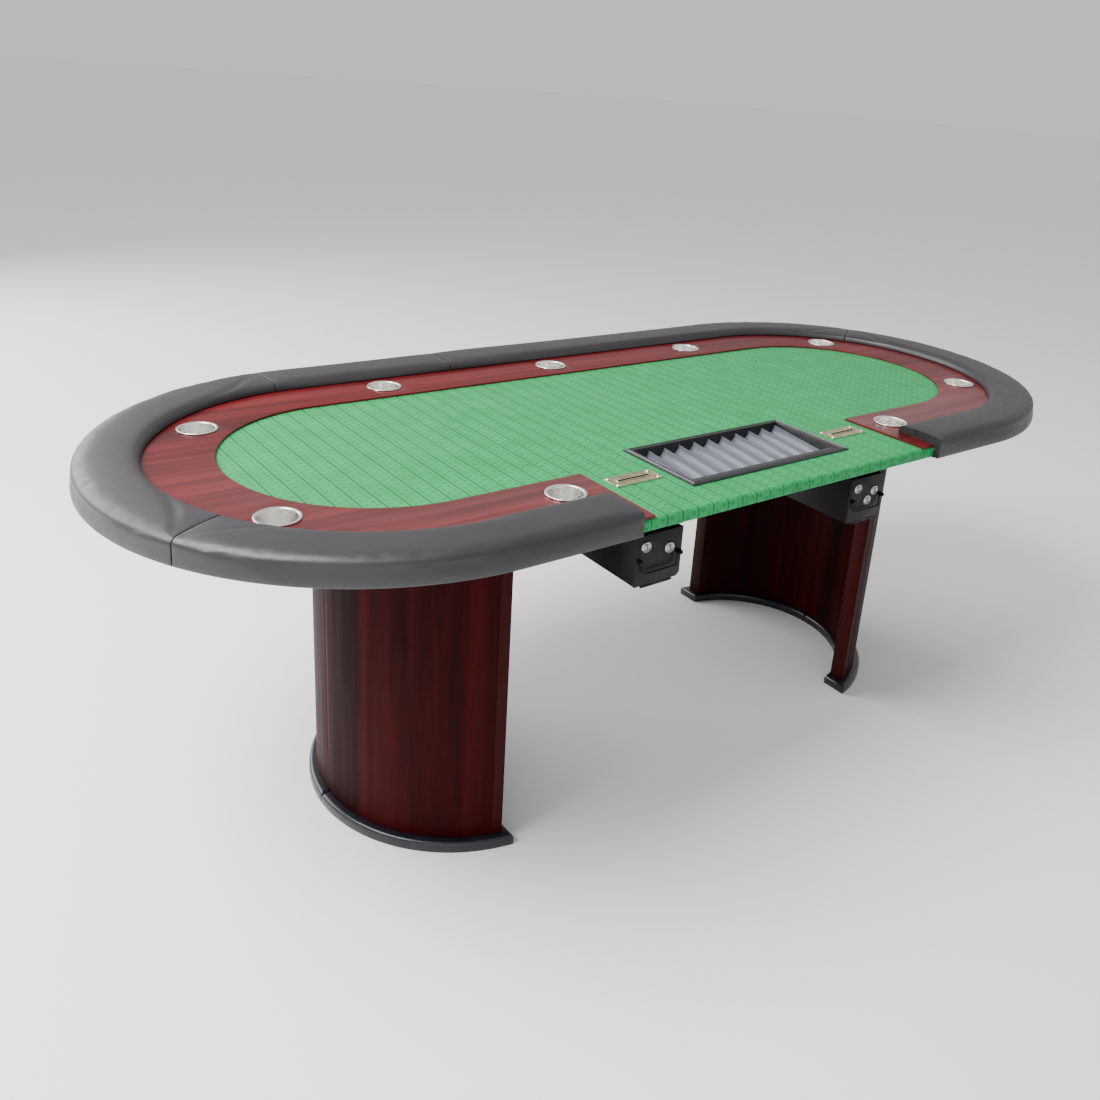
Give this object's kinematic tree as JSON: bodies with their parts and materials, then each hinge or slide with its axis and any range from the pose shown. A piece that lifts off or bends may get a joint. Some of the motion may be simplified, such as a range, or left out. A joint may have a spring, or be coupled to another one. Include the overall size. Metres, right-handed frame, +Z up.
{
  "type": "poker table",
  "caption": "Oval poker table with a padded rail, wooden racetrack, cup holders, chip tray, drop boxes under slot plates, and half-moon legs.",
  "frame": {"origin": "on the floor under the middle of the tabletop outline, at the middle of the bounding box", "axes": "+Z up, +X along the length of the table to the right as seen from the dealer, +Y from the dealer towards the opposite long side"},
  "size_m": [2.4387, 1.09, 0.8218],
  "materials": {
    "plywood": "bare",
    "foam": "matt",
    "playing_cloth": "woven, water-repellent",
    "mahogany": "satin lacquer",
    "leatherette": "satin, lightly grained",
    "cup_steel": "brushed",
    "tray_frame": "satin",
    "tray_groove": "satin",
    "slot_plate": "polished",
    "screw": "polished",
    "black_sheet_metal": "powder coat",
    "lock_chrome": "polished",
    "pin_steel": "plain",
    "leg_veneer": "satin lacquer",
    "plinth": "satin"
  },
  "bodies": {
    "table": {"table_board": "plywood", "rail_core": "plywood", "leg_mount_plate_left": "plywood", "leg_mount_plate_right": "plywood", "foam_underlay": "foam", "speed_cloth": "playing_cloth", "racetrack": "mahogany", "armrest_1": "leatherette", "armrest_2": "leatherette", "armrest_3": "leatherette", "armrest_4": "leatherette", "armrest_5": "leatherette", "cup_holder_1": "cup_steel", "cup_holder_2": "cup_steel", "cup_holder_3": "cup_steel", "cup_holder_4": "cup_steel", "cup_holder_5": "cup_steel", "cup_holder_6": "cup_steel", "cup_holder_7": "cup_steel", "cup_holder_8": "cup_steel", "cup_holder_9": "cup_steel", "slot_plate_left": "slot_plate", "slot_screw_left_1": "screw", "slot_screw_left_2": "screw", "slot_screw_left_3": "screw", "slot_screw_left_4": "screw", "drop_bracket_left": "black_sheet_metal", "leg_panel_left_front": "leg_veneer", "leg_post_left_front": "leg_veneer", "leg_plinth_left_front": "plinth", "leg_panel_left_back": "leg_veneer", "leg_post_left_back": "leg_veneer", "leg_plinth_left_back": "plinth", "slot_plate_right": "slot_plate", "slot_screw_right_1": "screw", "slot_screw_right_2": "screw", "slot_screw_right_3": "screw", "slot_screw_right_4": "screw", "drop_bracket_right": "black_sheet_metal", "leg_panel_right_front": "leg_veneer", "leg_post_right_front": "leg_veneer", "leg_plinth_right_front": "plinth", "leg_panel_right_back": "leg_veneer", "leg_post_right_back": "leg_veneer", "leg_plinth_right_back": "plinth"},
    "drop_box_left": {"drop_box_left": "black_sheet_metal", "door_hinge_pin_left": "pin_steel"},
    "drop_box_door_left": {"drop_box_door_left": "black_sheet_metal"},
    "bail_handle_left": {"bail_handle_left": "black_sheet_metal"},
    "release_lock_left": {"release_lock_left": "lock_chrome"},
    "door_lock_left": {"door_lock_left": "lock_chrome"},
    "drop_box_right": {"drop_box_right": "black_sheet_metal", "door_hinge_pin_right": "pin_steel"},
    "drop_box_door_right": {"drop_box_door_right": "black_sheet_metal"},
    "bail_handle_right": {"bail_handle_right": "black_sheet_metal"},
    "release_lock_right": {"release_lock_right": "lock_chrome"},
    "door_lock_right": {"door_lock_right": "lock_chrome"},
    "audit_lock_right": {"audit_lock_right": "lock_chrome"},
    "chip_tray": {"chip_tray_frame": "tray_frame", "chip_tray_insert": "tray_groove"}
  },
  "joints": [
    {"name": "chip_tray_lift", "type": "slide", "parent": "table", "child": "chip_tray", "axis": [0, 0, 1], "range_m": [0, 0.1]},
    {"name": "drop_box_left_slide", "type": "slide", "parent": "table", "child": "drop_box_left", "axis": [0, -1, 0], "range_m": [0, 0.235]},
    {"name": "drop_box_door_left_hinge", "type": "hinge", "parent": "drop_box_left", "child": "drop_box_door_left", "pos_m": [-0.311, -0.4538, 0.6115], "axis": [1, 0, 0], "range_deg": [0, 100]},
    {"name": "bail_handle_left_swing", "type": "hinge", "parent": "drop_box_door_left", "child": "bail_handle_left", "pos_m": [-0.311, -0.4635, 0.669], "axis": [-1, 0, 0], "range_deg": [0, 95]},
    {"name": "release_lock_left_turn", "type": "hinge", "parent": "drop_box_door_left", "child": "release_lock_left", "pos_m": [-0.346, -0.457, 0.697], "axis": [0, -1, 0], "range_deg": [0, 90]},
    {"name": "door_lock_left_turn", "type": "hinge", "parent": "drop_box_door_left", "child": "door_lock_left", "pos_m": [-0.286, -0.457, 0.683], "axis": [0, 1, 0], "range_deg": [0, 90]},
    {"name": "drop_box_right_slide", "type": "slide", "parent": "table", "child": "drop_box_right", "axis": [0, -1, 0], "range_m": [0, 0.235]},
    {"name": "drop_box_door_right_hinge", "type": "hinge", "parent": "drop_box_right", "child": "drop_box_door_right", "pos_m": [0.311, -0.4538, 0.6115], "axis": [1, 0, 0], "range_deg": [0, 100]},
    {"name": "bail_handle_right_swing", "type": "hinge", "parent": "drop_box_door_right", "child": "bail_handle_right", "pos_m": [0.311, -0.4635, 0.669], "axis": [-1, 0, 0], "range_deg": [0, 95]},
    {"name": "release_lock_right_turn", "type": "hinge", "parent": "drop_box_door_right", "child": "release_lock_right", "pos_m": [0.276, -0.457, 0.697], "axis": [0, -1, 0], "range_deg": [0, 90]},
    {"name": "door_lock_right_turn", "type": "hinge", "parent": "drop_box_door_right", "child": "door_lock_right", "pos_m": [0.336, -0.457, 0.683], "axis": [0, 1, 0], "range_deg": [0, 90]},
    {"name": "audit_lock_right_turn", "type": "hinge", "parent": "drop_box_door_right", "child": "audit_lock_right", "pos_m": [0.315, -0.457, 0.663], "axis": [0, -1, 0], "range_deg": [0, 90]}
  ]
}
